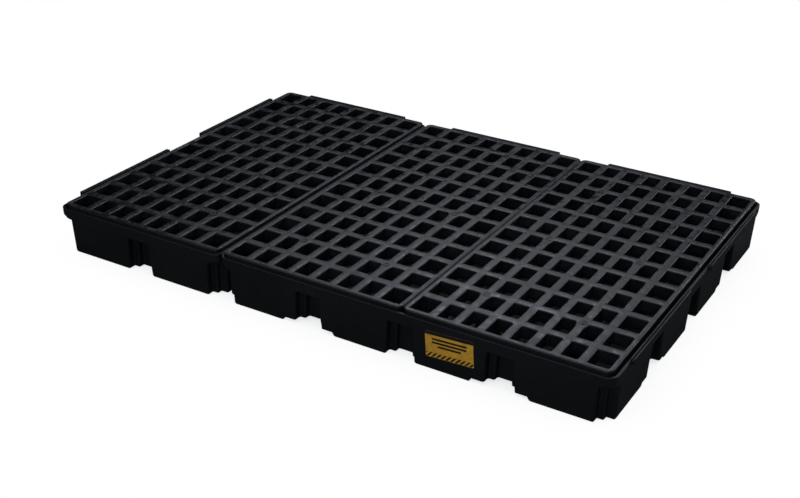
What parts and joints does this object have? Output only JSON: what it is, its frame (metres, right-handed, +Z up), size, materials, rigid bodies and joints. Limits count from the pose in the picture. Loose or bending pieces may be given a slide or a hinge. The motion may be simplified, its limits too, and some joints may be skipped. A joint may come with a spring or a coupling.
{
  "type": "spill containment pallet",
  "caption": "Low modular spill containment pallet: a narrow and a wide plastic sump linked side by side, with lift-out open grates to stand drums on.",
  "frame": {"origin": "middle of the footprint (tabs included), on the floor", "axes": "+X along the long side, two-drum sump at -X; +Y to the back, away from the labelled side; +Z up"},
  "size_m": [2.005, 1.3139, 0.1675],
  "materials": {
    "sump_polyethylene": "black moulded polyethylene, satin with a fine grain",
    "grate_polyethylene": "black moulded polyethylene, satin, scuffed on the treads",
    "fitting_plastic": "dark grey glass-filled plastic",
    "gasket_rubber": "black sheet rubber",
    "label_vinyl": "yellow vinyl with a dark header, plain bars and diagonal stripes"
  },
  "bodies": {
    "four_drum_module": {"four_drum_sump": "sump_polyethylene", "front_label": "label_vinyl", "link_fitting_front": "fitting_plastic", "link_flange_gasket_front": "gasket_rubber", "link_middle_seal_front": "gasket_rubber", "link_fitting_back": "fitting_plastic", "link_flange_gasket_back": "gasket_rubber", "link_middle_seal_back": "gasket_rubber"},
    "two_drum_module": {"two_drum_sump": "sump_polyethylene", "link_nut_gasket_front": "gasket_rubber", "link_nut_gasket_back": "gasket_rubber"},
    "grate_left": {"grate_left": "grate_polyethylene"},
    "grate_middle": {"grate_middle": "grate_polyethylene"},
    "grate_right": {"grate_right": "grate_polyethylene"},
    "link_nut_front": {"link_nut_front": "fitting_plastic"},
    "link_nut_back": {"link_nut_back": "fitting_plastic"}
  },
  "joints": [
    {"name": "module_slide", "type": "slide", "parent": "four_drum_module", "child": "two_drum_module", "axis": [-1, 0, 0], "range_m": [0, 0.3]},
    {"name": "grate_left_lift", "type": "slide", "parent": "two_drum_module", "child": "grate_left", "axis": [0, 0, 1], "range_m": [0, 0.25]},
    {"name": "grate_middle_lift", "type": "slide", "parent": "four_drum_module", "child": "grate_middle", "axis": [0, 0, 1], "range_m": [0, 0.25]},
    {"name": "grate_right_lift", "type": "slide", "parent": "four_drum_module", "child": "grate_right", "axis": [0, 0, 1], "range_m": [0, 0.25]},
    {"name": "link_nut_front_turn", "type": "hinge", "parent": "two_drum_module", "child": "link_nut_front", "pos_m": [-0.3485, -0.16675, 0.044], "axis": [1, 0, 0], "continuous": true},
    {"name": "link_nut_back_turn", "type": "hinge", "parent": "two_drum_module", "child": "link_nut_back", "pos_m": [-0.3485, 0.15625, 0.044], "axis": [1, 0, 0], "continuous": true}
  ]
}
